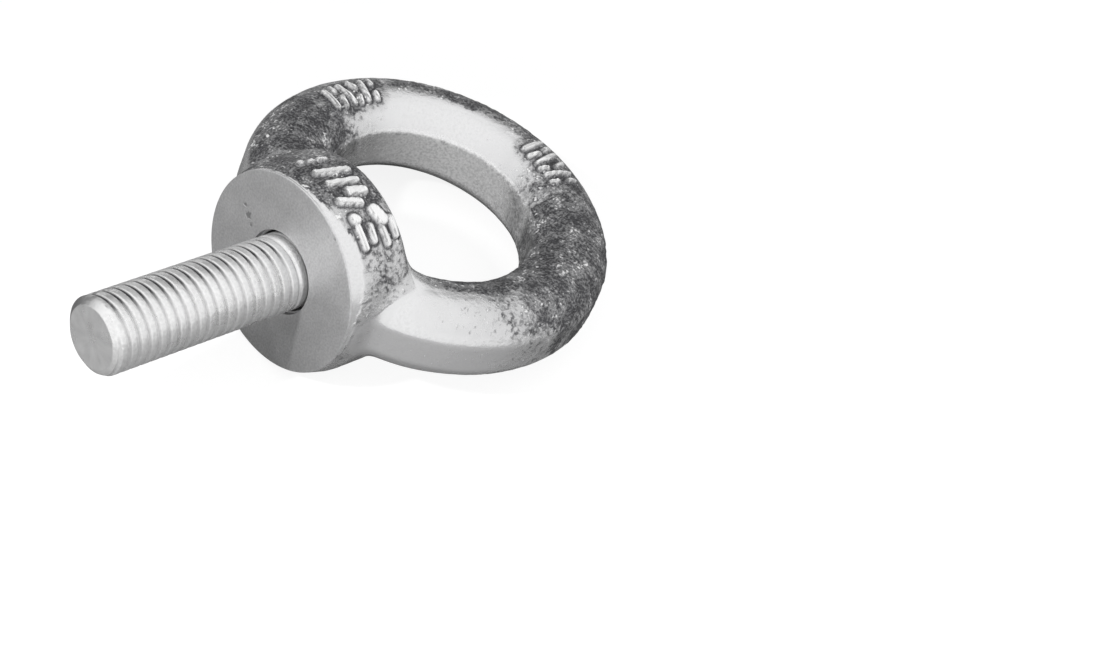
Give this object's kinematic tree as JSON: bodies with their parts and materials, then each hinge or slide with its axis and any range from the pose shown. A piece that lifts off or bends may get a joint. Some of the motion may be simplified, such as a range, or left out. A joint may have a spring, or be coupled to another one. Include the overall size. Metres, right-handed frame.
{
  "type": "lifting eye bolt",
  "caption": "Forged lifting eye with a round seating collar and a long right-hand metric threaded shank screwed into it.",
  "frame": {"origin": "centre of the collar's seating face, on the thread's axis", "axes": "+X along the thread, out of the seating face towards the shank's free end; the ring lies in the XY plane on the -X side; +Z is the ring's normal"},
  "size_m": [0.0951, 0.06, 0.033],
  "materials": {
    "forged_zinc": "zinc-coated forging, pitted, with a machined seating face",
    "thread_zinc": "zinc-coated rolled thread, semi-bright"
  },
  "bodies": {
    "root": {"forged_eye": "forged_zinc", "threaded_shank": "thread_zinc"}
  },
  "joints": []
}
